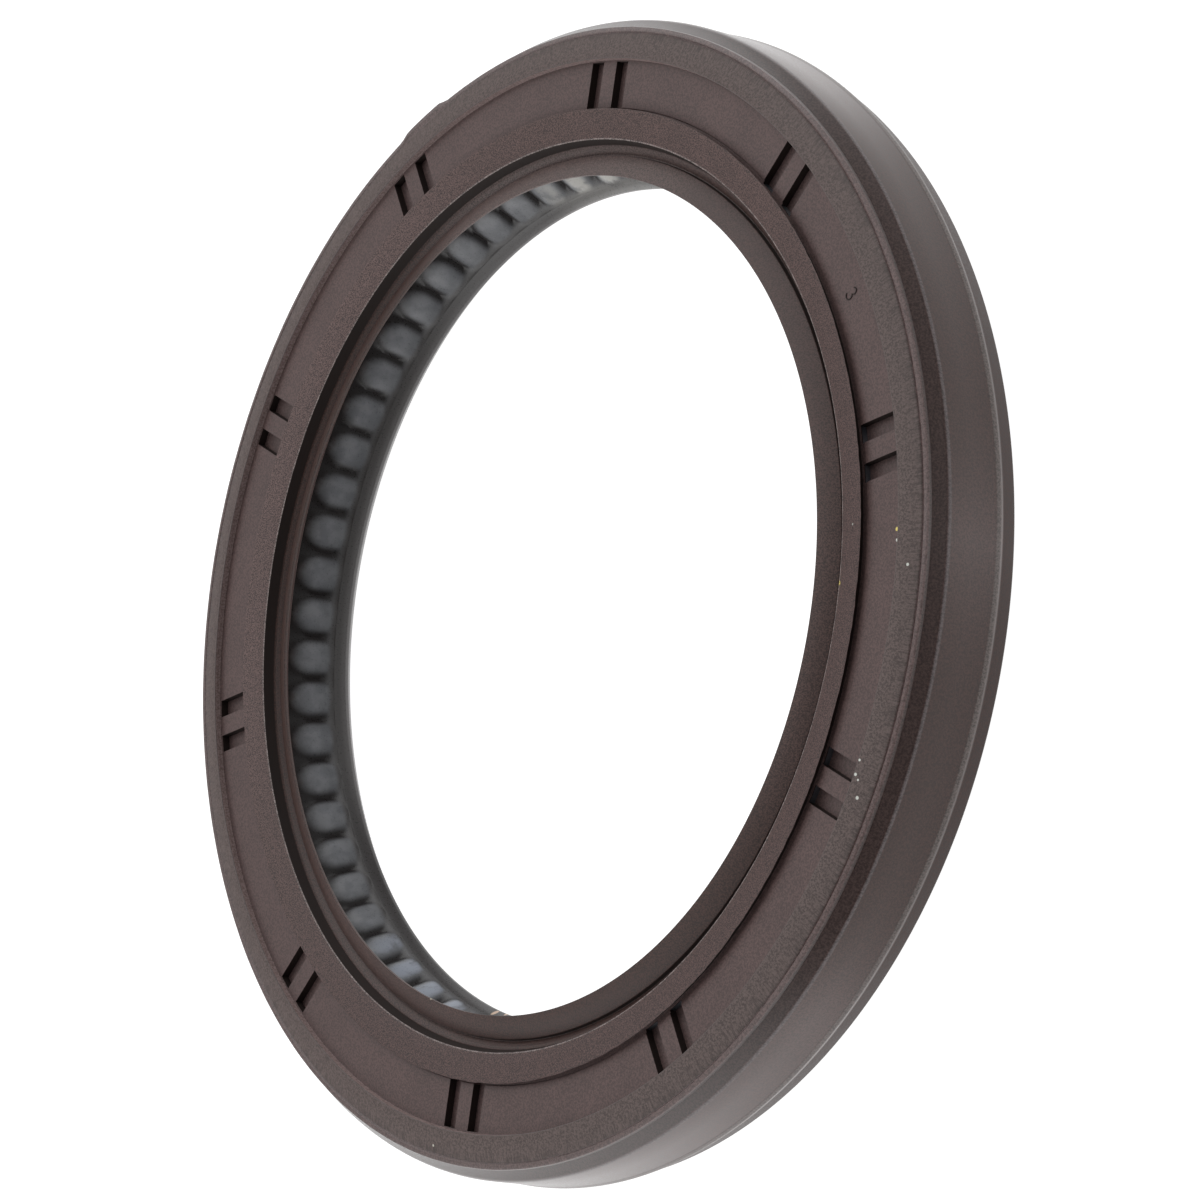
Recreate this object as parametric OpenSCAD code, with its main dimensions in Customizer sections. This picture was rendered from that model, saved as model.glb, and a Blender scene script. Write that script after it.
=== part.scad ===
// Radial shaft seal: moulded rubber body, stamped metal case and garter spring.
// It lies on its rear (oil side) face. The slotted front (air side) face looks up, the shaft runs along Z.

/* [Fit sizes] */
// Outside diameter over the press band
band_d = 100.2; // [98:0.1:106]
// Free diameter of the main lip's edge
lip_d = 72.6; // [71:0.1:74]
// Width from the rear face to the front face
width = 10; // [9.5:0.1:13]

/* [Outer wall] */
// Height of the tapered lead-in above the rear face
lead_in_h = 2.8; // [1:0.1:4]
// How far the lead-in draws in from the press band
lead_in_draw = 0.8; // [0.4:0.05:1.2]
// Bevel on the edge of the rear face
rear_bevel = 0.3; // [0.1:0.05:0.5]
// Distance from the front face back to the press band
band_setback = 2.25; // [2.1:0.05:3]
// How far the slope in front of the press band draws in to the bead
front_draw = 1.3; // [1:0.05:1.5]
// Radius of the shoulder between the press band and that slope
shoulder_r = 0.35; // [0.2:0.05:0.45]
// Radius of the bead round the front rim
bead_r = 0.25; // [0.15:0.01:0.32]
// How far the bead's middle lies behind the front face
bead_setback = 0.835; // [0.75:0.005:0.95]

/* [Front face] */
// Width of the fine groove between the bead and the outer land
rim_groove_w = 0.11; // [0.08:0.01:0.2]
// Share of the front face's radial width that the raised outer land takes
land_share = 0.214; // [0.15:0.002:0.25]
// How far the land falls away towards the bead
land_fall = 0.5; // [0.2:0.05:0.6]
// Depth of the recessed face below the land and the collar
step_h = 0.6; // [0.4:0.05:0.8]
// How far the wall of the step below the land leans
step_draft = 0.1; // [0.04:0.01:0.2]
// Share of the front face's radial width that the collar takes
collar_share = 0.257; // [0.22:0.001:0.29]
// How far the collar's top falls towards the bore
collar_fall = 0.4; // [0.1:0.05:0.5]
// How far the collar's outer wall is undercut
collar_undercut = 0.15; // [0.05:0.01:0.2]
// Depth of the shallow moat at the collar's foot
moat_h = 0.1; // [0.05:0.01:0.12]
// How far the collar's inner wall leans towards the bore
collar_lean = 0.32; // [0.1:0.01:0.4]

/* [Slots] */
// Number of slot pairs
slot_pairs = 10; // [4:1:16]
// Width of one slot
slot_w = 1.55; // [1:0.05:2]
// Width of the web between the two slots of a pair
slot_web = 1.75; // [1:0.05:2.5]
// Depth of the slots below the recessed face
slot_depth = 0.73; // [0.4:0.01:0.9]
// Rubber left between a slot's floor and the case
slot_skin = 0.22; // [0.15:0.01:0.4]
// Width of face left between a slot's outer end and the step
slot_inset = 0.1; // [0.05:0.01:0.3]

/* [Dust lip] */
// How far the dust lip's free edge stands inside the main lip's
dust_reach = 0.2; // [0.1:0.05:0.6]
// Radial distance from the main lip's free edge to the dust lip's root
throat_set = 1.7; // [1.4:0.05:2]
// Width of the groove at the dust lip's root
notch_w = 0.42; // [0.3:0.01:0.6]
// Depth of the groove at the dust lip's root
notch_h = 0.45; // [0.2:0.05:0.55]
// Width of the ledge between that groove and the collar
ledge_w = 0.45; // [0.3:0.01:0.7]
// Distance of the ledge behind the front face
ledge_setback = 1.4; // [1.2:0.05:1.6]
// Distance of the dust lip's edge behind the front face
dust_setback = 0.43; // [0.3:0.01:0.6]
// Length of the land at the dust lip's edge
dust_land = 0.6; // [0.4:0.05:0.7]
// How far the dust lip's back swells past its straight line
dust_swell = 0.35; // [0.2:0.05:0.5]
// Axial thickness of rubber at the dust lip's root
root_t = 1.15; // [0.9:0.05:1.3]

/* [Main lip] */
// Height of the lip's contact land above the rear face
lip_z = 2.2; // [2:0.05:2.4]
// Length of the contact land
lip_land = 0.3; // [0.2:0.05:0.5]
// Radial thickness of rubber between the contact land and the spring
head_t = 2.6; // [2.2:0.05:2.8]
// Height of the lip's toe above the rear face
toe_z = 1.25; // [1:0.05:1.4]
// Thickness of the flexing wall behind the ribs
flex_t = 1.3; // [1:0.05:1.5]
// Number of ribs round the air side of the lip
rib_count = 62; // [56:1:68]
// Depth of the gaps between the ribs
rib_depth = 0.65; // [0.45:0.05:0.8]
// Width of the gaps' floor where the ribs start
rib_gap = 0.12; // [0.06:0.01:0.3]
// Height of the plain ring between the contact land and the ribs
plain_ring_h = 0.8; // [0.5:0.05:1.2]
// Distance of the ribs' upper ends behind the front face
rib_setback = 3; // [2.9:0.05:3.4]
// Radial distance from the dust lip's root to the ribs' upper ends
rib_set = 0.85; // [0.6:0.05:1]
// Radius of the heel between the flexing wall and the flange
heel_r = 1.9; // [1.4:0.1:2.2]
// Angle of the first gap between ribs
rib_angle = 2.3; // [0:0.1:5.8]

/* [Metal case] */
// Thickness of the case's sheet
sheet_t = 0.8; // [0.6:0.05:0.9]
// Rubber outside the case under the press band
case_cover = 1.8; // [1.7:0.05:2.2]
// Rubber under the case's rear edge
rear_cover = 0.9; // [0.6:0.05:1.2]
// How far the case's inner flange is raised under the collar
joggle_h = 0.75; // [0.6:0.05:0.8]
// Rubber between the case's inner edge and the collar's bore
edge_cover = 0.8; // [0.6:0.05:0.9]

/* [Garter spring] */
// Outside diameter of the spring's coil
coil_d = 2; // [1.6:0.05:2.1]
// Height of the spring above the main lip's contact land
spring_rise = 0.55; // [0.4:0.05:0.7]
// Running clearance between the spring and its groove
spring_clear = 0.05; // [0.02:0.01:0.1]

/* [Hidden] */
$fn = 180;

// Radii, from the outside in
band_r = band_d / 2;
rear_r = band_r - lead_in_draw;
bead_mid_r = band_r - front_draw;
land_out_r = bead_mid_r - bead_r - rim_groove_w;
lip_r = lip_d / 2;
dust_r = lip_r - dust_reach;
throat_r = lip_r + throat_set;
face_w = land_out_r - throat_r;
step_r = land_out_r - land_share * face_w;
step_foot_r = step_r - step_draft;
ledge_in_r = throat_r + notch_w;
ledge_out_r = ledge_in_r + ledge_w;
collar_in_r = ledge_out_r + collar_lean;
collar_out_r = collar_in_r + collar_share * face_w;

// Heights above the rear face
face_z = width - step_h;
ledge_z = width - ledge_setback;
dust_z = width - dust_setback;
bead_z = width - bead_setback;
band_top_z = width - band_setback;
land_edge_z = width - land_fall;

// How far the band's front shoulder turns before it runs on as the slope
shoulder_turn = 45;

// Case
case_out_r = band_r - case_cover;
case_in_r = case_out_r - sheet_t;
flange_top_z = face_z - slot_depth - slot_skin;
flange_bottom_z = flange_top_z - sheet_t;
joggle_r = collar_out_r - 1.5 * collar_undercut;
case_bore_r = collar_in_r + edge_cover;
bend_r = 1.5 * sheet_t;

// Ribbed cone on the air side of the main lip
lip_top_z = lip_z + lip_land;
cone_top_r = throat_r + rib_set;
cone_top_z = width - rib_setback;
cone_rise = (cone_top_r - lip_r) / (cone_top_z - lip_top_z);
cone_angle = atan(cone_rise);
ring_top_z = lip_top_z + plain_ring_h;
rib_pitch = 2 * PI * cone_r(ring_top_z) / rib_count;
rib_half = (rib_pitch - rib_gap) / 2;
rib_r = (pow(rib_half, 2) + pow(rib_depth, 2)) / (2 * rib_depth);
rib_sink = 0.3;
rib_back = 0.05;
rib_round = 0.6;

// Garter spring and its groove
coil_r = coil_d / 2;
spring_r = lip_r + head_t + spring_clear + coil_r;
spring_z = lip_z + spring_rise;
groove_r = coil_r + spring_clear;
keeper = 0.35;
keeper_t = 0.06;
keeper_top_z = spring_z + groove_r + 2 * keeper;

// Flexing wall, set parallel to the ribbed cone, and the heel that joins it to the flange
heel_mid_z = flange_bottom_z - heel_r;
heel_mid_r = wall_r(heel_mid_z) + heel_r / cos(cone_angle);

// Small edge break used on moulded corners, and how far cutters reach past what they cut
edge = 0.08;
over = 1;

// Radius of the ribs' crests at height z
function cone_r(z) = lip_r + cone_rise * (z - lip_top_z);

// Radius of the flexing wall's oil side at height z
function wall_r(z) = cone_r(z) + rib_depth + flex_t;

// Points on an arc from angle a0 to angle a1 in n steps
function arc(mid, r, a0, a1, n) = [for (i = [0:n]) let (a = a0 + (a1 - a0) * i / n) mid + r * [cos(a), sin(a)]];

// Outline of the rubber, drawn through the middle of the case's sheet where the case is bare
function rubber_outline() = concat(
    // rear rim and lead-in
    [[case_in_r, 0], [rear_r - rear_bevel, 0], [rear_r, rear_bevel], [band_r, lead_in_h]],
    // press band with its rounded front shoulder, and the slope up to the bead
    arc([band_r - shoulder_r, band_top_z], shoulder_r, 0, shoulder_turn, 3),
    [[bead_mid_r, bead_z]],
    // fine groove inside the bead, then the ground land
    [[land_out_r + rim_groove_w / 2, bead_z], [land_out_r, land_edge_z - rim_groove_w]],
    [[land_out_r - rim_groove_w, land_edge_z], [step_r, width]],
    // recessed face with a shallow moat at the collar
    [[step_foot_r, face_z], [collar_out_r + moat_h, face_z]],
    [[collar_out_r + moat_h / 2, face_z - moat_h], [collar_out_r - collar_undercut, face_z - moat_h]],
    // collar
    [[collar_out_r - collar_undercut / 2, width - moat_h], [collar_out_r, width]],
    [[collar_in_r, width - collar_fall], [ledge_out_r, ledge_z + edge]],
    // ledge and groove at the dust lip's root
    [[ledge_out_r - edge, ledge_z], [ledge_in_r + edge, ledge_z]],
    [[ledge_in_r - edge, ledge_z - notch_h], [throat_r + edge, ledge_z - notch_h]],
    // dust lip
    [[throat_r, ledge_z], [dust_r, dust_z], [dust_r, dust_z - dust_land / 2]],
    [[dust_r + dust_land / 2, dust_z - dust_land], [(dust_r + throat_r) / 2 + dust_swell, ledge_z - dust_swell]],
    // cavity between the lips
    [[throat_r + dust_swell, ledge_z - root_t]],
    [[cone_top_r + rib_depth - edge, cone_top_z + rib_depth / 2]],
    [[cone_top_r + rib_depth, cone_top_z]],
    // floor of the gaps between the ribs, plain ring and contact land
    [[cone_r(ring_top_z) + rib_depth, ring_top_z + edge], [cone_r(ring_top_z), ring_top_z]],
    [[lip_r, lip_top_z], [lip_r, lip_z]],
    // toe and the spring's lower keeper
    [[lip_r + lip_z - toe_z, toe_z], [spring_r - keeper, toe_z]],
    [[spring_r + keeper, spring_z - groove_r - keeper_t], [spring_r + keeper, spring_z + groove_r + keeper_t]],
    // upper keeper, flexing wall and heel under the flange
    [[wall_r(keeper_top_z), keeper_top_z]],
    arc([heel_mid_r, heel_mid_z], heel_r, 180 - cone_angle, 90, 6),
    // inside the case's sheet and out at its rear edge
    [[heel_mid_r, flange_bottom_z + sheet_t / 2], [case_in_r + sheet_t / 2, flange_bottom_z + sheet_t / 2]],
    [[case_in_r + sheet_t / 2, rear_cover + sheet_t / 2], [case_in_r, rear_cover]]
);

// Stamped case: outer wall, flange and the raised inner flange under the collar
function case_outline() = concat(
    [[case_in_r, rear_cover], [case_out_r, rear_cover]],
    arc([case_out_r - bend_r, flange_top_z - bend_r], bend_r, 0, 90, 5),
    [[joggle_r, flange_top_z], [joggle_r, flange_top_z + joggle_h], [case_bore_r, flange_top_z + joggle_h]],
    [[case_bore_r, flange_bottom_z + joggle_h], [joggle_r - sheet_t, flange_bottom_z + joggle_h]],
    [[joggle_r - sheet_t, flange_bottom_z]],
    arc([case_out_r - bend_r, flange_top_z - bend_r], bend_r - sheet_t, 90, 0, 3)
);

// The ring that every slot lies in: from the raised flange to the foot of the step
module slot_ring() {
    rotate_extrude()
        polygon([
            [joggle_r, face_z - slot_depth],
            [step_foot_r - slot_inset, face_z - slot_depth],
            [step_foot_r - slot_inset, width + over],
            [collar_out_r + 2 * moat_h, width + over],
            [collar_out_r + 2 * moat_h, face_z],
            [joggle_r, face_z]
        ]);
}

// Pairs of parallel radial slots
module slots() {
    intersection() {
        slot_ring();
        for (i = [0:slot_pairs - 1], side = [-1, 1])
            rotate([0, 0, i * 360 / slot_pairs])
                translate([joggle_r - over, side * (slot_web + slot_w) / 2 - slot_w / 2, 0])
                    cube([step_r - joggle_r + 2 * over, slot_w, width + 2 * over]);
    }
}

// The band that holds the ribs: crests on its inside, sunk into the lip on its outside
module rib_band() {
    rotate_extrude()
        polygon([
            [cone_r(ring_top_z) - rib_sink, ring_top_z - edge],
            [cone_top_r - rib_sink, cone_top_z - rib_round],
            [cone_top_r + rib_depth + rib_sink, cone_top_z + rib_sink],
            [cone_r(ring_top_z) + rib_depth + rib_sink, ring_top_z - edge]
        ]);
}

// Rounded ribs that run up the air side of the main lip
module ribs() {
    intersection() {
        rib_band();
        for (i = [0:rib_count - 1])
            rotate([0, 0, rib_angle + (i + 0.5) * 360 / rib_count])
                translate([cone_r(ring_top_z) + rib_back, 0, ring_top_z])
                    rotate([0, cone_angle, 0])
                        translate([rib_r, 0, -over])
                            cylinder(h = width, r = rib_r);
    }
}

module metal_case() {
    color("slategray")
        rotate_extrude()
            polygon(case_outline());
}

module garter_spring() {
    color("silver")
        rotate_extrude()
            translate([spring_r, spring_z])
                circle(r = coil_r, $fn = 48);
}

module rubber_body() {
    color([0.33, 0.27, 0.26])
        difference() {
            union() {
                rotate_extrude()
                    polygon(rubber_outline());
                rotate_extrude()
                    translate([bead_mid_r, bead_z])
                        circle(r = bead_r, $fn = 32);
                ribs();
            }
            rotate_extrude()
                polygon(case_outline());
            rotate_extrude()
                translate([spring_r, spring_z])
                    circle(r = groove_r, $fn = 48);
            slots();
        }
}

rubber_body();
metal_case();
garter_spring();
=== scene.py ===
import math

import bmesh
import bpy
from mathutils import Matrix, Vector, noise


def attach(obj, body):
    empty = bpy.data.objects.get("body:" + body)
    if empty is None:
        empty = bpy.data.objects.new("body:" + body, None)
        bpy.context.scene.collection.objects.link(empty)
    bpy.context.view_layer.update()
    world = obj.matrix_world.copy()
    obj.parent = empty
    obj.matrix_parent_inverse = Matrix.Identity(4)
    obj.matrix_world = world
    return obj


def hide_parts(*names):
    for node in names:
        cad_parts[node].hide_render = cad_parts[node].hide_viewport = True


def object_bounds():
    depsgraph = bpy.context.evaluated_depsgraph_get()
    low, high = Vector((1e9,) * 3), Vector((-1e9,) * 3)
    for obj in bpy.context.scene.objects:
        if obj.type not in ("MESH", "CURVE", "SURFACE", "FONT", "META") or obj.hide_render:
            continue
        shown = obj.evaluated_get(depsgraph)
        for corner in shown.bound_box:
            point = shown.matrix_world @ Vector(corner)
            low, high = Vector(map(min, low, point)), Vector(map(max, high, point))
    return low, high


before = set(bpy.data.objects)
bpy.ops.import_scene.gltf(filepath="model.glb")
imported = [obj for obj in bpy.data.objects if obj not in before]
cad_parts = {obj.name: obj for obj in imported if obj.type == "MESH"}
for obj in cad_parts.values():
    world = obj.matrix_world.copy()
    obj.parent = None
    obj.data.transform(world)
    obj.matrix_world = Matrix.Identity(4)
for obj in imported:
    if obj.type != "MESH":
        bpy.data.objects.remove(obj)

cad_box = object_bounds()

# Lengths are in millimetres here, and the model is in metres
MM = 0.001
OUTER_R, _, WIDTH = (round(side / MM, 3) for side in cad_box[1])

# Ribs and main lip, as in the part's source
RIBS = 62
RIB_PHASE = 2.3
RIB_DEPTH = 0.65
RIB_LOW_Z = 3.48
RIB_HIGH_Z = 7.0
LIP_R = 36.3
CONE_FOOT_Z = 2.5
CONE_RISE = 2.55 / 4.5

# Front face and slots
FACE_Z = 9.4
STRIP_Z = 9.3
LAND_R = 46.206
SLOT_PAIRS = 10
SLOT_WEB = 1.75
SLOT_WIDTH = 1.55
SLOT_MIDDLE_R = 43.8
SLOT_FLOOR_Z = 8.67
SLOT_OUTER_R = 46.006
SLOT_INNER_R = 41.67

# Press band, and the steel case with its pocket in the rubber
BAND_R = 49.97
LEAD_IN_Z = 2.22
SHOULDER_Z = 7.97
STEEL_STEP_R = 41.645
STEEL_STEP_Z = 9.2
POCKET_R = 48.3
POCKET_Z = 8.45
CASE_INNER_R = 47.5
FLANGE_INNER_R = 40.845
FLANGE_EDGE_R = 39.99
FLANGE_LOW_Z = 7.65
FLANGE_TOP_Z = 8.4

# Garter spring and its seat
SPRING_R = 39.95
SPRING_Z = 2.75
SPRING_WIRE_R = 0.2
SPRING_COIL_R = 0.79
SPRING_SEAT_R = 1.05

# The rubber's mesh has eight columns for each rib
COLUMNS = 8 * RIBS
TOUCH = 0.005


def crest_r(z):
    """Radius of the lip's cone at a height."""
    return LIP_R + CONE_RISE * (z - CONE_FOOT_Z)


def smooth(t):
    """Eases a share from 0 to 1."""
    t = min(max(t, 0.0), 1.0)
    return t * t * (3 - 2 * t)


def spring_seat():
    """The round groove behind the lip, as points from its low mouth to its high mouth."""
    mouth, sweep, steps = -70.5, 219, 12
    turns = [math.radians(mouth - sweep * i / steps) for i in range(steps + 1)]
    around = [(SPRING_SEAT_R * math.cos(t), SPRING_SEAT_R * math.sin(t)) for t in turns]
    return [(SPRING_R + across, SPRING_Z + up, 0) for across, up in around]


def rib_floor():
    """The floor of the gaps between the ribs, with more points near both ends of the ribs."""
    heights = (RIB_HIGH_Z, 6.84, 6.65, 6.4, 6.1, 5.75, 5.35, 4.95, 4.6, 4.3, 4.05, 3.84, 3.65, RIB_LOW_Z)
    return [(crest_r(z) + RIB_DEPTH, z, 0) for z in heights]


# Corners of the rubber's section: radius, height and rounding of each
SECTION = [
    # rear rim, lead-in and ridge
    (CASE_INNER_R, 0.00, 0.04), (49.00, 0.00, 0.10), (49.30, 0.30, 0.12), (49.94, LEAD_IN_Z, 0.14),
    (OUTER_R, 2.45, 0.14), (BAND_R, 2.92, 0.05),
    # press band and front slope
    (BAND_R, 5.40, 0), (BAND_R, SHOULDER_Z, 0.30), (49.02, 8.93, 0.02),
    # rounded rim and the fine groove inside it
    (49.07, 9.00, 0.04), (49.05, 9.37, 0.11), (48.60, 9.44, 0.05), (48.55, 9.37, 0.01), (48.49, 9.355, 0),
    (48.45, 9.42, 0),
    # ground land and the step down to the face
    (48.34, 9.50, 0.04), (47.30, 9.742, 0), (LAND_R, WIDTH, 0.05), (46.15, 9.70, 0), (46.106, FACE_Z, 0.04),
    # recessed face and the strip beside the collar
    (SLOT_OUTER_R, FACE_Z, 0), (45.00, FACE_Z, 0), (44.00, FACE_Z, 0), (42.90, FACE_Z, 0),
    (41.98, FACE_Z, 0.03), (41.92, STRIP_Z, 0), (SLOT_INNER_R, STRIP_Z, 0), (41.44, 9.33, 0.05),
    # collar, with the moulding edge that stands up outside it
    (41.46, 9.74, 0.10), (41.80, 9.93, 0), (41.87, 9.99, 0.02), (41.60, 9.957, 0), (40.50, 9.796, 0),
    (39.19, 9.60, 0.07), (38.87, 8.60, 0.10),
    # step and groove inside the collar
    (38.66, 8.60, 0.12), (38.16, 8.20, 0.04), (38.06, 8.20, 0.03), (38.00, 8.60, 0.04),
    # dust lip
    (37.05, 9.085, 0), (36.10, 9.57, 0.05), (36.10, 9.27, 0.05), (36.40, 8.97, 0.10), (37.40, 8.25, 0.30),
    # throat behind the dust lip, and the ribbed cone
    (38.35, 7.45, 0.30), (39.42, 7.325, 0.12), *rib_floor(),
    # main lip
    (crest_r(3.42), 3.42, 0.06), (crest_r(2.9), 2.90, 0), (LIP_R, CONE_FOOT_Z, 0.05), (LIP_R, 2.20, 0.06),
    (37.25, 1.25, 0.15), (39.60, 1.25, 0.10),
    # spring groove and flexing wall
    (40.30, 1.64, 0.03), *spring_seat(), (40.30, 3.86, 0.03), (39.66, 4.50, 0.25), (41.07, 7.60, 1.20),
    # pocket round the case's flange
    (42.34, 7.60, 0), (42.34, FLANGE_LOW_Z, 0), (FLANGE_INNER_R, FLANGE_LOW_Z, 0),
    (FLANGE_INNER_R, FLANGE_TOP_Z, 0), (FLANGE_EDGE_R, FLANGE_TOP_Z, 0), (FLANGE_EDGE_R, STEEL_STEP_Z, 0),
    (STEEL_STEP_R, STEEL_STEP_Z, 0), (STEEL_STEP_R, SLOT_FLOOR_Z, 0), (STEEL_STEP_R, POCKET_Z, 0),
    # pocket round the case's wall
    (POCKET_R, POCKET_Z, 1.20), (POCKET_R, 0.90, 0), (CASE_INNER_R, 0.90, 0),
]


# Ways to make a mesh

def section_wire(bm, section):
    """Draws a closed section in the XZ plane and rounds its corners."""
    corners = [bm.verts.new((r * MM, 0, z * MM)) for r, z, _ in section]
    for a, b in zip(corners, corners[1:] + corners[:1]):
        bm.edges.new((a, b))
    for rounding in sorted({c for _, _, c in section if c > 0}):
        group = [v for v, (_, _, c) in zip(corners, section) if c == rounding]
        steps = 6 if rounding > 1 else 3 if rounding > 0.15 else 2
        bmesh.ops.bevel(bm, geom=group, offset=rounding * MM, affect="VERTICES",
                        segments=steps, profile=0.5, material=-1)


def double_up(bm, moves):
    """Copies the whole mesh once for each move, so that it doubles every time, and joins the copies."""
    for move in moves:
        copy = bmesh.ops.duplicate(bm, geom=bm.verts[:] + bm.edges[:] + bm.faces[:])["geom"]
        bmesh.ops.transform(bm, matrix=move, verts=[v for v in copy if isinstance(v, bmesh.types.BMVert)])
    bmesh.ops.remove_doubles(bm, verts=bm.verts[:], dist=1e-6)


def spin_section(bm, columns):
    """Turns a section an eighth of the way round Z, and doubles that up to the whole ring."""
    bmesh.ops.spin(bm, geom=bm.verts[:] + bm.edges[:], cent=(0, 0, 0), axis=(0, 0, 1),
                   angle=math.tau / 8, steps=columns // 8, use_merge=False, use_duplicate=False)
    double_up(bm, [Matrix.Rotation(math.radians(a), 4, "Z") for a in (45, 90, 180)])
    bmesh.ops.recalc_face_normals(bm, faces=bm.faces[:])


def place(v, r, angle, z):
    """Puts a point at a radius, an angle in degrees and a height."""
    turn = math.radians(angle)
    v.co = (r * math.cos(turn) * MM, r * math.sin(turn) * MM, z * MM)


def wave(angle, lobes, seed):
    """Seamless seeded noise round the seal, about -1 to 1."""
    turn = math.radians(angle)
    return noise.noise(Vector((math.cos(turn) * lobes, math.sin(turn) * lobes, seed)))


def to_object(bm, name, finishes, sharp=30):
    """Makes the mesh an object of its own, smooth except at sharp corners."""
    mesh = bpy.data.meshes.new(name)
    bm.to_mesh(mesh)
    bm.free()
    mesh.shade_smooth()
    mesh.set_sharp_from_angle(angle=math.radians(sharp))
    for finish in finishes:
        mesh.materials.append(finish)
    piece = bpy.data.objects.new(name, mesh)
    bpy.context.scene.collection.objects.link(piece)
    return piece


# Ways to make a finish

def join(tree, value, socket):
    """Links a value to a socket, or sets the socket when the value is a number or a colour."""
    if isinstance(value, bpy.types.NodeSocket):
        tree.links.new(value, socket)
    else:
        socket.default_value = value


def rgb(r, g, b):
    """A colour for a socket."""
    return (r, g, b, 1.0)


class Finish:
    """A node material on the seal's own millimetres, with short ways to add and join its nodes."""

    def __init__(self, name):
        self.material = bpy.data.materials.new(name)
        self.material.use_nodes = True
        self.tree = self.material.node_tree
        self.shader = self.tree.nodes["Principled BSDF"]
        place = self.tree.nodes.new("ShaderNodeTexCoord")
        self.mm = self.vector("SCALE", place.outputs["Object"], scale=1 / MM)
        split = self.tree.nodes.new("ShaderNodeSeparateXYZ")
        self.join(self.mm, split.inputs[0])
        self.z = split.outputs["Z"]

    def join(self, value, socket):
        """Links a value to a socket of this material, or sets the socket."""
        join(self.tree, value, socket)

    def paint(self, **values):
        """Joins values to the shader's sockets, named with low lines for spaces."""
        for name, value in values.items():
            self.join(value, self.shader.inputs[name.replace("_", " ")])

    def math(self, kind, a, b=0.0, c=0.0):
        """One step of arithmetic on numbers."""
        n = self.tree.nodes.new("ShaderNodeMath")
        n.operation = kind
        for value, socket in zip((a, b, c), n.inputs):
            self.join(value, socket)
        return n.outputs[0]

    def times(self, a, b):
        """Product of two numbers."""
        return self.math("MULTIPLY", a, b)

    def vector(self, kind, a, b=(0, 0, 0), scale=1.0):
        """One step of arithmetic on points, directions or colours."""
        n = self.tree.nodes.new("ShaderNodeVectorMath")
        n.operation = kind
        self.join(a, n.inputs[0])
        if kind == "SCALE":
            self.join(scale, n.inputs["Scale"])
        else:
            self.join(b, n.inputs[1])
        return n.outputs["Value"] if kind in ("LENGTH", "DOT_PRODUCT") else n.outputs[0]

    def flat(self, point):
        """A point without its height."""
        return self.vector("MULTIPLY", point, (1, 1, 0))

    def radius(self):
        """Distance from the seal's axis."""
        return self.vector("LENGTH", self.flat(self.mm))

    def outwards(self):
        """Direction from the seal's axis."""
        return self.vector("NORMALIZE", self.flat(self.mm))

    def facing(self, azimuth, outer, inner):
        """Share from 0 to 1 for what lies within some degrees of a direction from the axis."""
        turn = math.radians(azimuth)
        side = self.vector("DOT_PRODUCT", self.outwards(), (math.cos(turn), math.sin(turn), 0))
        return self.between(side, math.cos(math.radians(outer)), math.cos(math.radians(inner)))

    def round_space(self, along, across, up=0.0):
        """Space for a pattern that runs round or across the seal: scales round, outwards and up."""
        ring = self.flat(self.vector("SCALE", self.outwards(), scale=along))
        lift = self.tree.nodes.new("ShaderNodeCombineXYZ")
        height = self.math("ADD", self.times(self.radius(), across), self.times(self.z, up))
        self.join(height, lift.inputs["Z"])
        return self.vector("ADD", ring, lift.outputs[0])

    def noise(self, space, scale, detail=2.0, roughness=0.5):
        """A cloudy pattern from 0 to 1."""
        n = self.tree.nodes.new("ShaderNodeTexNoise")
        self.join(space, n.inputs["Vector"])
        n.inputs["Scale"].default_value = scale
        n.inputs["Detail"].default_value = detail
        n.inputs["Roughness"].default_value = roughness
        return n.outputs["Fac"]

    def between(self, value, low, high, to_low=0.0, to_high=1.0):
        """Maps low..high of a value smoothly to another range."""
        n = self.tree.nodes.new("ShaderNodeMapRange")
        n.interpolation_type = "SMOOTHSTEP"
        self.join(value, n.inputs["Value"])
        for name, number in (("From Min", low), ("From Max", high), ("To Min", to_low), ("To Max", to_high)):
            n.inputs[name].default_value = number
        return n.outputs["Result"]

    def below(self, value, low, high, most=1.0):
        """Share that is highest under low and fades out at high."""
        return self.between(value, low, high, most, 0.0)

    def near(self, value, middle, inner, outer, most=1.0):
        """Share that is highest within inner of a middle and fades out at outer."""
        return self.below(self.math("ABSOLUTE", self.math("SUBTRACT", value, middle)), inner, outer, most)

    def mix(self, share, a, b):
        """The first colour where the share is 0, the second where it is 1."""
        n = self.tree.nodes.new("ShaderNodeMix")
        n.data_type = "RGBA"
        self.join(share, n.inputs["Factor"])
        self.join(a, n.inputs[6])
        self.join(b, n.inputs[7])
        return n.outputs[2]

    def specks(self, scale, share, size):
        """Small dots scattered in a share of the cells of a pattern."""
        n = self.tree.nodes.new("ShaderNodeTexVoronoi")
        self.join(self.mm, n.inputs["Vector"])
        n.inputs["Scale"].default_value = scale
        lot = self.vector("DOT_PRODUCT", n.outputs["Color"], (1, 0, 0))
        chosen = self.math("GREATER_THAN", lot, 1 - share)
        return self.times(chosen, self.below(n.outputs["Distance"], size * 0.6, size))

    def spots(self, colour, places, crumb):
        """Crumbs of one colour at known places: x, y and size of each."""
        for x, y, size in places:
            apart = self.vector("LENGTH", self.flat(self.vector("SUBTRACT", self.mm, (x, y, 0))))
            colour = self.mix(self.below(apart, size * 0.6, size), colour, crumb)
        return colour

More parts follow.
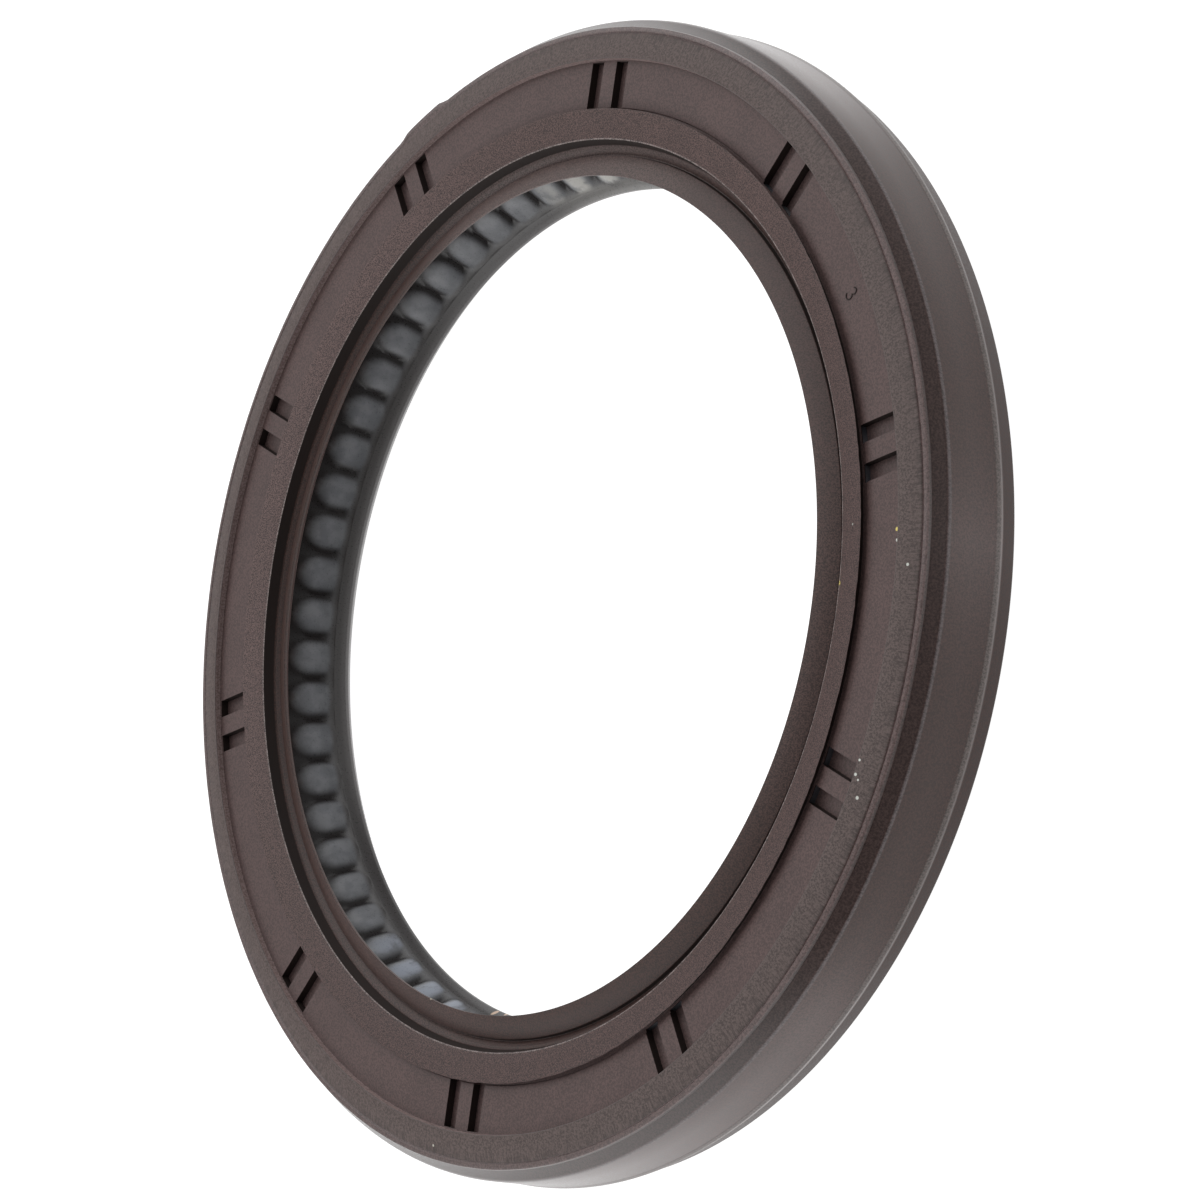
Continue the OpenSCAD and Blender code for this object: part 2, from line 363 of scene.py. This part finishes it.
    def bump(self, height, microns):
        """Raises the surface by a pattern of some microns."""
        n = self.tree.nodes.new("ShaderNodeBump")
        self.join(height, n.inputs["Height"])
        n.inputs["Distance"].default_value = microns * 1e-6
        self.join(n.outputs[0], self.shader.inputs["Normal"])


# Finishes of the seal

YELLOW = rgb(0.75, 0.62, 0.16)
PALE = rgb(0.72, 0.74, 0.68)
AMBER = rgb(0.62, 0.44, 0.32)


def moulded_rubber(name, colour, rough, grain, grain_um=6.0, grain_scale=5.5, zones=None):
    """Satin moulded rubber: soft mottling, fine grain, faint flow lines and a few pale specks."""
    f = Finish(name)
    cloud = f.noise(f.mm, 0.22, 3.0)
    fine = f.noise(f.mm, grain_scale, 4.0, 0.75)
    lines = f.noise(f.round_space(3.0, 5.0, 5.0), 1.0, 2.0)
    tone = f.math("ADD", f.times(cloud, 0.7), f.times(lines, 0.3))
    darker, lighter = (rgb(*[c * share for c in colour]) for share in (0.94, 1.06))
    tint = f.mix(f.between(tone, 0.35, 0.65), darker, lighter)
    if zones:
        tint = zones(f, tint)
    tint = f.vector("SCALE", tint, scale=f.between(fine, 0.40, 0.60, 1 - grain, 1 + grain))
    tint = f.mix(f.specks(0.42, 0.02, 0.05), tint, rgb(0.55, 0.50, 0.38))
    f.paint(Base_Color=tint, Roughness=f.between(fine, 0.3, 0.7, rough - 0.06, rough + 0.08))
    f.bump(f.math("ADD", fine, f.times(lines, 0.2)), grain_um)
    return f.material


def face_zones(f, tint):
    """The low step up to the land, painted lighter to lift its shade, and two crumbs beside it."""
    # painted light on the step's wall, against the shade that falls there
    step = f.times(f.near(f.radius(), 46.15, 0.05, 0.07), f.near(f.z, 9.7, 0.22, 0.28))
    tint = f.mix(step, tint, rgb(0.30, 0.22, 0.21))
    tint = f.spots(tint, [(40.59, 20.56, 0.20)], YELLOW)
    return f.spots(tint, [(41.03, 19.79, 0.16)], PALE)


def collar_zones(f, tint):
    """Painted light towards -X and painted shade towards -25 degrees round the collar, a pale line along its
    inner edge that is wear and a painted highlight, and crumbs.
    """
    # painted light towards -X, painted shade towards -25 degrees
    tint = f.mix(f.facing(180, 60, 20), tint, rgb(0.116, 0.073, 0.068))
    tint = f.mix(f.facing(-25, 100, 60), tint, rgb(0.082, 0.048, 0.044))
    # a pale line along the inner edge: wear with a painted highlight
    worn = f.times(f.near(f.radius(), 39.2, 0.05, 0.16), f.noise(f.mm, 1.4, 3.0))
    tint = f.mix(worn, tint, rgb(0.38, 0.33, 0.315))
    tint = f.spots(tint, [(36.50, 14.42, 0.22)], YELLOW)
    return f.spots(tint, [(35.90, 19.20, 0.10)], PALE)


def lip_zones(f, tint):
    """The dust lip is painted darker and redder on its -X side and darker near -40 degrees as painted shade,
    and lighter near 115 degrees as painted light.
    """
    # painted shade towards -X and -40 degrees, painted light towards 115 degrees
    tint = f.mix(f.facing(190, 65, 30), tint, rgb(0.047, 0.021, 0.016))
    tint = f.mix(f.facing(115, 35, 8), tint, rgb(0.105, 0.070, 0.064))
    return f.mix(f.facing(-40, 42, 20), tint, rgb(0.056, 0.028, 0.023))


def band_zones(f, tint):
    """The outer wall by height: lead-in, ridge, press band, shoulder, slope and rim, with a fine dust.
    Painted shade darkens the lead-in, the slope and two sides; painted highlights light the ridge, the
    shoulder and the rim.
    """
    # two sides, near 3 and 52 degrees, are painted darker as painted shade, with less sheen, specular and
    # coat
    shaded_sides = f.math("MAXIMUM", f.facing(3, 26, 6), f.facing(52, 30, 10))
    dusty = f.between(f.z, 2.0, 2.3)
    # the lead-in gets little specular, as part of its painted shade
    above_lead_in = f.between(f.z, 1.95, 2.2, 0.15, 0.5)
    f.paint(Sheen_Weight=f.times(dusty, f.math("MULTIPLY_ADD", shaded_sides, -0.06, 0.12)), Sheen_Roughness=0.30,
            Specular_IOR_Level=f.times(above_lead_in, f.math("MULTIPLY_ADD", shaded_sides, -0.3, 1.0)),
            Coat_Weight=f.times(dusty, f.math("MULTIPLY_ADD", shaded_sides, -0.35, 0.6)),
            Coat_Roughness=0.22, Coat_IOR=1.30)
    tint = f.mix(shaded_sides, tint, rgb(0.043, 0.020, 0.016))
    # painted shade on the slope and the lead-in, painted highlights on the shoulder, the ridge and the rim
    slope = f.between(f.z, 8.0, 8.15)
    shoulder = f.near(f.z, SHOULDER_Z - 0.11, 0.05, 0.24, 0.7)
    ridge = f.near(f.z, 2.62, 0.12, 0.34, 0.75)
    rim = f.between(f.z, 9.15, 9.35)
    lead_in = f.below(f.z, 1.9, 2.15)
    tint = f.mix(slope, tint, rgb(0.056, 0.036, 0.033))
    tint = f.mix(shoulder, tint, rgb(0.130, 0.110, 0.112))
    tint = f.mix(ridge, tint, rgb(0.135, 0.113, 0.106))
    tint = f.mix(rim, tint, rgb(0.125, 0.084, 0.080))
    return f.mix(lead_in, tint, rgb(0.034, 0.016, 0.013))


def ground_rubber(name, dark, light, rough):
    """The rough ground land: grit and short scratches across it, with darker worn patches at the rim."""
    f = Finish(name)
    streaks = f.noise(f.round_space(300.0, 1.0), 1.0, 3.0, 0.7)
    grit = f.noise(f.mm, 5.0, 4.0, 0.8)
    patches = f.noise(f.round_space(90.0, 0.8), 1.0, 3.0, 0.6)
    outer = f.between(f.radius(), 46.8, 48.2)
    tone = f.mix(f.times(outer, 0.5), grit, streaks)
    colour = f.mix(f.between(tone, 0.40, 0.60), dark, light)
    worn = f.times(f.between(patches, 0.5, 0.6), f.between(f.radius(), 47.6, 48.4))
    colour = f.mix(f.times(worn, 0.5), colour, rgb(0.050, 0.036, 0.033))
    # painted highlight along the land's inner edge
    colour = f.mix(f.near(f.radius(), 46.21, 0.02, 0.09, 0.6), colour, rgb(0.15, 0.13, 0.125))
    colour = f.mix(f.specks(0.6, 0.03, 0.08), colour, rgb(0.6, 0.58, 0.5))
    crumbs = [(46.25, 3.00, 0.13), (46.36, 1.82, 0.16), (46.75, 1.51, 0.11), (47.25, 0.20, 0.18),
              (43.54, 18.59, 0.16)]
    colour = f.spots(colour, crumbs, PALE)
    f.paint(Base_Color=colour, Roughness=f.between(tone, 0.3, 0.7, rough - 0.08, rough + 0.1))
    f.bump(tone, 16.0)
    return f.material


def coated_ribs(name):
    """Ribs with a dark grey coat of dry lubricant that thins out to brown rubber at their upper ends."""
    f = Finish(name)
    cloud = f.noise(f.mm, 0.8, 3.0)
    grain = f.noise(f.mm, 6.0, 3.0, 0.6)
    coat = f.mix(f.between(cloud, 0.35, 0.65), rgb(0.150, 0.156, 0.168), rgb(0.200, 0.206, 0.218))
    coat = f.vector("SCALE", coat, scale=f.between(f.z, 3.9, 5.6, 0.9, 1.3))
    ragged_z = f.math("ADD", f.z, f.times(f.noise(f.mm, 1.3, 3.0), 0.9))
    colour = f.mix(f.times(f.between(ragged_z, 6.7, 7.5), 0.8), coat, rgb(0.105, 0.060, 0.040))

    # painted shade in the gaps, the plain ring under the ribs and the edge of the lip
    crest = f.math("MULTIPLY_ADD", f.z, CONE_RISE, LIP_R - CONE_RISE * CONE_FOOT_Z)
    depth = f.math("SUBTRACT", f.radius(), crest)
    colour = f.mix(f.between(depth, 0.12, 0.5), colour, rgb(0.022, 0.019, 0.019))
    colour = f.mix(f.below(f.z, 3.5, 4.0), colour, rgb(0.085, 0.081, 0.080))
    colour = f.mix(f.below(f.z, 2.6, 3.1), colour, rgb(0.125, 0.119, 0.118))

    # bluish grease with painted highlights on the crests near -93 degrees, painted white highlights on the
    # crests near 115 degrees, and painted shade on the ring near -Y
    grease_and_highlight = f.times(f.below(depth, 0.05, 0.25), f.between(cloud, 0.32, 0.52, 0.35, 1.0))
    grease_and_highlight = f.times(grease_and_highlight, f.between(f.z, 3.2, 4.0, 0.2, 1.0))
    colour = f.mix(f.times(f.facing(-93, 18, 5), grease_and_highlight), colour, rgb(0.32, 0.35, 0.41))
    colour = f.mix(f.times(f.facing(115, 16, 5), grease_and_highlight), colour, rgb(0.50, 0.49, 0.46))
    colour = f.mix(f.times(f.below(f.z, 3.4, 3.7), f.facing(-96, 41, 18)), colour, rgb(0.040, 0.036, 0.036))
    colour = f.spots(colour, [(5.4, -36.1, 0.26), (6.5, -35.7, 0.18)], AMBER)
    f.paint(Base_Color=colour, Roughness=f.between(grain, 0.3, 0.7, 0.26, 0.38))
    f.bump(f.math("ADD", grain, f.times(cloud, 1.5)), 7.0)
    return f.material


def stamped_steel(name):
    """Dull blue-grey stamped steel with drawing marks and small stains."""
    f = Finish(name)
    drawn = f.noise(f.round_space(2.0, 6.0, 9.0), 1.0, 3.0, 0.6)
    stain = f.noise(f.mm, 0.35, 4.0, 0.6)
    colour = f.mix(f.between(stain, 0.4, 0.65), rgb(0.20, 0.225, 0.26), rgb(0.33, 0.35, 0.38))
    f.paint(Base_Color=colour, Metallic=0.85, Roughness=f.between(drawn, 0.3, 0.7, 0.34, 0.5))
    f.bump(drawn, 5.0)
    return f.material


def spring_wire(name):
    """Bright drawn wire with fine length marks and a thin oil film."""
    f = Finish(name)
    marks = f.noise(f.mm, 6.0, 3.0, 0.6)
    colour = f.mix(f.between(marks, 0.35, 0.65), rgb(0.42, 0.42, 0.43), rgb(0.62, 0.62, 0.62))
    f.paint(Base_Color=colour, Metallic=1.0, Roughness=f.between(marks, 0.3, 0.7, 0.22, 0.36))
    f.bump(marks, 3.0)
    return f.material


def white_table(name, glow):
    """A white light table that glows a little of itself."""
    f = Finish(name)
    colour = f.mix(f.noise(f.mm, 0.002, 2.0), rgb(0.30, 0.30, 0.30), rgb(0.32, 0.32, 0.32))
    f.paint(Base_Color=colour, Roughness=0.9, Emission_Color=rgb(1, 1, 1), Emission_Strength=glow)
    return f.material


BROWN = moulded_rubber("brown_face_rubber", (0.102, 0.0635, 0.060), 0.50, 0.28, zones=face_zones)
BAND = moulded_rubber("brown_band_rubber", (0.069, 0.038, 0.034), 0.36, 0.36, zones=band_zones)
COLLAR = moulded_rubber("collar_rubber", (0.094, 0.057, 0.052), 0.55, 0.70, 20.0, 9.0, collar_zones)
LIP = moulded_rubber("dust_lip_rubber", (0.072, 0.041, 0.036), 0.50, 0.50, 10.0, 7.0, lip_zones)
# Near-black rubber as painted shade, for steep walls in slots and grooves that little light reaches
PAINTED_SHADE = moulded_rubber("painted_shade_rubber", (0.018, 0.009, 0.007), 0.70, 0.20)
LAND = ground_rubber("ground_land_rubber", rgb(0.066, 0.046, 0.042), rgb(0.155, 0.114, 0.106), 0.60)
COATED = coated_ribs("coated_rib_rubber")
STEEL = stamped_steel("stamped_case_steel")
WIRE = spring_wire("garter_spring_wire")
RUBBER_FINISHES = [BROWN, BAND, COLLAR, LIP, LAND, COATED, PAINTED_SHADE]


# Rubber body

def slot_lines(pair):
    """The four sides of a pair of slots: place across the pair, and the mesh column that follows it."""
    centre = 360 / SLOT_PAIRS * pair
    sides = [-SLOT_WEB / 2 - SLOT_WIDTH, -SLOT_WEB / 2, SLOT_WEB / 2, SLOT_WEB / 2 + SLOT_WIDTH]
    return [(y, round((centre + math.degrees(math.asin(y / SLOT_MIDDLE_R))) * COLUMNS / 360)) for y in sides]


def slot_angle(column, r):
    """Angle in degrees of a mesh column at a radius, drawn to the slots' straight sides."""
    reach = 6
    for pair in range(SLOT_PAIRS + 1):
        centre = 360 / SLOT_PAIRS * pair
        lines = slot_lines(pair)
        before, after = lines[0][1] - reach, lines[3][1] + reach
        knots = [(k, centre + math.degrees(math.asin(y / r))) for y, k in lines]
        knots = [(before, before * 360 / COLUMNS), *knots, (after, after * 360 / COLUMNS)]
        for (k0, a0), (k1, a1) in zip(knots, knots[1:]):
            if k0 <= column <= k1:
                return a0 + (a1 - a0) * (column - k0) / (k1 - k0)
    return column * 360 / COLUMNS


def rib_height(share_round, share_up):
    """How far a rib stands up from the floor of the gaps. share_round is -1 to 1 across one rib."""
    half, fullness, end_from = 0.95, 2.2, 0.5
    foot = 0.8 * (1 - smooth(share_up / 0.2))
    if share_up > end_from:
        half *= math.sqrt(max(0.0, 1 - ((share_up - end_from) / (1 - end_from)) ** fullness))
    if half < 1e-3 or abs(share_round) >= half:
        return RIB_DEPTH * foot
    across = (1 - (abs(share_round) / half) ** fullness) ** 0.7
    along = 0.94 * (1 - 0.55 * smooth((share_up - 0.45) / 0.55))
    return RIB_DEPTH * max(foot, across * along)


def shape_rib(v, column, r, z):
    """Raises a point of the lip's cone to its rib, with more mesh columns near the gaps."""
    pitch = COLUMNS / RIBS
    phase = (column / pitch) % 1.0 * 2 - 1
    spread = 0.45 * phase + 0.55 * math.sin(phase * math.pi / 2)
    angle = (column - (phase - spread) / 2 * pitch) * 360 / COLUMNS + RIB_PHASE
    share_up = (z - RIB_LOW_Z) / (RIB_HIGH_Z - RIB_LOW_Z)
    place(v, r - rib_height(spread, share_up), angle, z)


def roughen_collar_edge(v, column, r, z):
    """The ragged moulding edge that stands up round the collar."""
    angle = column * 360 / COLUMNS
    ragged = 0.05 * wave(angle, 40, 3.1) + 0.035 * wave(angle, 120, 7.7)
    place(v, r + ragged - 0.02, slot_angle(column, r), z + 0.02 * wave(angle, 60, 1.3))


def shape_rim(v, column, r, z):
    """The slightly uneven rim and slope, with one small moulding nub."""
    nub_angle, nub_rise, nub_reach, nub_ease = 140, 0.33, 4.2, 1.6
    angle = column * 360 / COLUMNS
    away = abs((angle - nub_angle + 180) % 360 - 180)
    nub = nub_rise * smooth((nub_reach - away) / nub_ease)
    place(v, r + nub + 0.015 * wave(angle, 30, 5.0), angle, z)


def on_rib_floor(r, z):
    """The floor of the gaps between the ribs."""
    return RIB_LOW_Z - 0.01 <= z <= RIB_HIGH_Z + 0.01 and abs(r - crest_r(z) - RIB_DEPTH) < TOUCH


def in_slot_zone(r, z):
    """The face between the collar's top edge and the land, whose mesh columns follow the slots."""
    return 41.58 < r < 46.25 and z > POCKET_Z - 0.05


def beside_ribs(r, z):
    """The throat over the ribs and the lip under them, whose mesh columns follow the ribs."""
    return r < 39.55 and z < 8.6 and r < crest_r(z) + 3


def on_collar_edge(r, z):
    """The moulding edge that stands up round the collar."""
    return 41.7 < r < 41.9 and z > 9.85


def on_rim(r, z):
    """The rim and the front slope."""
    return r > 48.52 and z > 8.8


def rubber_body():
    """The whole rubber moulding as one closed mesh."""
    bm = bmesh.new()
    section_wire(bm, SECTION)
    spin_section(bm, COLUMNS)
    col = bm.verts.layers.int.new("column")
    first_r = bm.verts.layers.float.new("first_r")
    first_z = bm.verts.layers.float.new("first_z")
    for v in bm.verts:
        r, z = math.hypot(v.co.x, v.co.y) / MM, v.co.z / MM
        column = round(math.degrees(math.atan2(v.co.y, v.co.x)) * COLUMNS / 360) % COLUMNS
        v[col], v[first_r], v[first_z] = column, r, z
        if on_rib_floor(r, z):
            shape_rib(v, column, r, z)
        elif in_slot_zone(r, z):
            place(v, r, slot_angle(column, r), z)
        elif beside_ribs(r, z):
            place(v, r, column * 360 / COLUMNS + RIB_PHASE, z)
        if on_collar_edge(r, z):
            roughen_collar_edge(v, column, r, z)
        if on_rim(r, z):
            shape_rim(v, column, r, z)
    cut_slots(bm, col, first_r, first_z)
    bmesh.ops.recalc_face_normals(bm, faces=bm.faces[:])
    paint_regions(bm, first_r, first_z)
    numeral(bm)
    return to_object(bm, "seal_rubber_body", RUBBER_FINISHES)


def cut_slots(bm, col, first_r, first_z):
    """Sinks the pairs of slots into the recessed face and opens their inner ends on the steel."""
    spans = []
    for pair in range(SLOT_PAIRS):
        sides = [column for _, column in slot_lines(pair)]
        spans += [(sides[0], sides[1]), (sides[2], sides[3])]

    def in_span(face, a, b):
        off = [(v[col] - (a + b) / 2 + COLUMNS / 2) % COLUMNS - COLUMNS / 2 for v in face.verts]
        return all(abs(o) <= (b - a) / 2 + 0.01 for o in off)

    def on_face(v):
        return SLOT_INNER_R - TOUCH <= v[first_r] <= SLOT_OUTER_R + TOUCH and 9.25 < v[first_z] < 9.75

    def ring(v):
        return round(v[first_r], 3), round(v[first_z], 3)

    # sink the faces between the slots' sides
    top_faces = [f for f in bm.faces if all(on_face(v) for v in f.verts)]
    sunk = [f for a, b in spans for f in top_faces if in_span(f, a, b)]
    made = bmesh.ops.extrude_face_region(bm, geom=sunk)["geom"]
    bmesh.ops.delete(bm, geom=sunk, context="FACES")
    for v in (g for g in made if isinstance(g, bmesh.types.BMVert)):
        at_inner_end = abs(v[first_r] - SLOT_INNER_R) < TOUCH
        r = STEEL_STEP_R if at_inner_end else v[first_r]
        place(v, r, slot_angle(v[col], r), SLOT_FLOOR_Z)

    # open the inner ends: the slot's end wall and the wall against the steel go
    inner_top = (SLOT_INNER_R, STRIP_Z)
    steel_low = (STEEL_STEP_R, SLOT_FLOOR_Z)
    steel_top = (STEEL_STEP_R, STEEL_STEP_Z)
    doomed = []
    for f in bm.faces:
        rings = {ring(v) for v in f.verts}
        against_steel = rings == {steel_low, steel_top}
        if rings == {inner_top} or against_steel and any(in_span(f, a, b) for a, b in spans):
            doomed.append(f)
    bmesh.ops.delete(bm, geom=doomed, context="FACES")
    close = [v for v in bm.verts if ring(v) == steel_low or ring(v) == inner_top and v.co.z < 9.0 * MM]
    bmesh.ops.remove_doubles(bm, verts=close, dist=2e-6)

    # close what is left open over and beside each inner end
    low, high, top = {}, {}, {}
    for v in bm.verts:
        r, z = math.hypot(v.co.x, v.co.y) / MM, v.co.z / MM
        if abs(z - SLOT_FLOOR_Z) < TOUCH and abs(r - STEEL_STEP_R) < TOUCH:
            low[v[col]] = v
            v[first_r], v[first_z] = steel_low
        elif ring(v) == inner_top and z > STEEL_STEP_Z:
            top[v[col]] = v
        elif ring(v) == steel_top:
            high[v[col]] = v
    for a, b in spans:
        for k in range(a, b):
            i, j = k % COLUMNS, (k + 1) % COLUMNS
            bm.faces.new((top[i], top[j], high[j], high[i]))
        for k in (a % COLUMNS, b % COLUMNS):
            bm.faces.new((top[k], high[k], low[k]))


def in_shade(r, z, turn):
    """Tells whether a steep wall is in a slot, a step or a groove that little light reaches."""
    in_slot = 42.0 <= r < 46.02 and 8.6 < z < 9.93
    beside_strip = 41.4 < r < 42.0 and 8.6 < z < 9.93 and abs(turn - 14) < 80
    inside_collar = 38.8 < r < 39.2 and z > 8.6
    in_groove = 38.0 < r < 38.45 and z > 8.0 and -128 < turn < 148
    return in_slot or beside_strip or inside_collar or in_groove


def finish_at(r, z):
    """The finish of a place on the section."""
    if r > 48.45:
        return BAND
    if r > 46.19 and z > 9.3:
        return LAND
    if 38.9 < r < 41.9 and z > 9.35:
        return COLLAR
    if r <= 38.9 and z > 8.0:
        return LIP
    if r < 39.9 and z < 7.6 and r < crest_r(z) + 1.4:
        return COATED
    return BROWN


def paint_regions(bm, first_r, first_z):
    """Gives each face the finish of its region of the section, and a near-black painted shade to steep walls
    in shade.
    """
    for f in bm.faces:
        r = sum(v[first_r] for v in f.verts) / len(f.verts)
        z = sum(v[first_z] for v in f.verts) / len(f.verts)
        middle = f.calc_center_median()
        turn = math.degrees(math.atan2(middle.y, middle.x))
        steep = abs(f.normal.z) < 0.6
        finish = PAINTED_SHADE if steep and in_shade(r, z, turn) else finish_at(r, z)
        f.material_index = RUBBER_FINISHES.index(finish)


def numeral(bm):
    """A small raised 3 on the recessed face: a flat bar pushed along two arcs, its top towards the rim."""
    azimuth, middle_r, wide, tall = math.radians(54), 44.0, 1.1, 1.15

    def arc(middle_y, half_wide, half_tall, first, last):
        turns = [math.radians(a) for a in range(first, last + 1, 21)]
        return [Vector((half_wide * math.sin(t), middle_y + half_tall * math.cos(t))) for t in turns]

    path = arc(0.30, 0.26, 0.25, -65, 145) + arc(-0.25, 0.32, 0.31, 15, 246)
    bar = [(-0.06, FACE_Z - 0.04), (0.06, FACE_Z - 0.04), (0.045, FACE_Z + 0.06), (-0.045, FACE_Z + 0.06)]
    outwards = Vector((math.cos(azimuth), math.sin(azimuth)))
    rightwards = Vector((math.sin(azimuth), -math.cos(azimuth)))
    end = bm.faces.new([bm.verts.new() for _ in bar])
    made = list(end.verts)
    for i, (x, y) in enumerate(path):
        if i > 0:
            pushed = bmesh.ops.extrude_face_region(bm, geom=[end])["geom"]
            if i > 1:
                bmesh.ops.delete(bm, geom=[end], context="FACES_ONLY")
            end = next(g for g in pushed if isinstance(g, bmesh.types.BMFace))
            made += end.verts
        along = (path[min(i + 1, len(path) - 1)] - path[max(i - 1, 0)]).normalized()
        for v, (side, z) in zip(end.verts, bar):
            spot = outwards * (middle_r + tall * y + along.x * side)
            spot += rightwards * (wide * x - along.y * side)
            v.co = (spot.x * MM, spot.y * MM, z * MM)
    faces = list({f for v in made for f in v.link_faces})
    bmesh.ops.recalc_face_normals(bm, faces=faces)
    # the 3 takes the painted shade finish, which stands in for the shadow of its strokes
    for f in faces:
        f.material_index = RUBBER_FINISHES.index(PAINTED_SHADE)


rubber = rubber_body()
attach(rubber, "root")
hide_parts("rubber_body")


# Garter spring

def garter_spring():
    """A close-wound wire: one turn, doubled up to a straight coil and bent into a ring."""
    doublings, steps = 9, 12
    turns = 2 ** doublings
    bm = bmesh.new()
    wire = bmesh.ops.create_circle(bm, segments=6, radius=SPRING_WIRE_R * MM)["verts"]
    bmesh.ops.translate(bm, verts=wire, vec=(0, SPRING_COIL_R * MM, 0))
    pitch = math.tau * SPRING_R * MM / turns
    bmesh.ops.spin(bm, geom=bm.verts[:] + bm.edges[:], cent=(0, 0, 0), axis=(1, 0, 0), angle=math.tau,
                   dvec=(pitch / steps, 0, 0), steps=steps, use_merge=False, use_duplicate=False)
    double_up(bm, [Matrix.Translation((pitch * 2 ** i, 0, 0)) for i in range(doublings)])
    for v in bm.verts:
        turn = v.co.x / (SPRING_R * MM)
        r = SPRING_R * MM + v.co.y
        v.co = (r * math.cos(turn), r * math.sin(turn), v.co.z + SPRING_Z * MM)
    bmesh.ops.remove_doubles(bm, verts=bm.verts[:], dist=2e-6)
    bmesh.ops.recalc_face_normals(bm, faces=bm.faces[:])
    return to_object(bm, "garter_spring_coil", [WIRE], sharp=60)


spring = garter_spring()
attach(spring, "root")
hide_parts("garter_spring")


# Steel case, which keeps its own mesh

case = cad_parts["metal_case"]
case.data.materials.clear()
case.data.materials.append(STEEL)


# Floor and light

TABLE_SIZE = 6.0
TABLE_GLOW = 1.02
LIGHT_SPREAD = 50
# azimuth, elevation and strength of each soft light
STUDIO = [
    (140, 42, 1.45), (200, 42, 0.40), (260, 42, 0.65), (270, 8, 1.25),
    (80, 42, 0.30), (20, 42, 0.20), (0, 85, 0.12),
]


def pale_floor():
    """A white light table under the seal."""
    bm = bmesh.new()
    bmesh.ops.create_grid(bm, x_segments=1, y_segments=1, size=TABLE_SIZE)
    return to_object(bm, "pale_floor", [white_table("white_table", TABLE_GLOW)])


def studio_light():
    """A dark room with wide soft light from chosen sides."""
    world = bpy.data.worlds.new("soft_studio")
    world.use_nodes = True
    tree = world.node_tree
    sky = tree.nodes["Background"]
    place = tree.nodes.new("ShaderNodeTexCoord")
    total = 0.0
    for azimuth, elevation, strength in STUDIO:
        turn, lift = math.radians(azimuth), math.radians(elevation)
        towards = (math.cos(lift) * math.cos(turn), math.cos(lift) * math.sin(turn), math.sin(lift))
        side = tree.nodes.new("ShaderNodeVectorMath")
        side.operation = "DOT_PRODUCT"
        soft = tree.nodes.new("ShaderNodeMapRange")
        soft.interpolation_type = "SMOOTHSTEP"
        soft.inputs["From Min"].default_value = math.cos(math.radians(LIGHT_SPREAD))
        soft.inputs["To Max"].default_value = strength
        add = tree.nodes.new("ShaderNodeMath")
        join(tree, place.outputs["Generated"], side.inputs[0])
        join(tree, towards, side.inputs[1])
        join(tree, side.outputs["Value"], soft.inputs["Value"])
        join(tree, soft.outputs["Result"], add.inputs[0])
        join(tree, total, add.inputs[1])
        total = add.outputs[0]
    join(tree, total, sky.inputs["Strength"])
    join(tree, rgb(1, 1, 1), sky.inputs["Color"])
    return world


pale_floor()
bpy.context.scene.world = studio_light()
bpy.context.scene.view_settings.view_transform = "Standard"


# Camera, from a fit to the photograph: place in metres, turn in degrees and focal length

CAMERA_PLACE = (0.35726, 0.08952, 0.29260)
CAMERA_TURN = (12.931, 50.586, 30.558)
FOCAL_LENGTH = 163.62

lens = bpy.data.cameras.new("camera")
lens.sensor_width = 36
lens.lens = FOCAL_LENGTH
lens.clip_start, lens.clip_end = 0.05, 30
camera = bpy.data.objects.new("camera", lens)
camera.location = CAMERA_PLACE
camera.rotation_euler = [math.radians(a) for a in CAMERA_TURN]
bpy.context.scene.collection.objects.link(camera)
bpy.context.scene.camera = camera

bpy.context.view_layer.update()
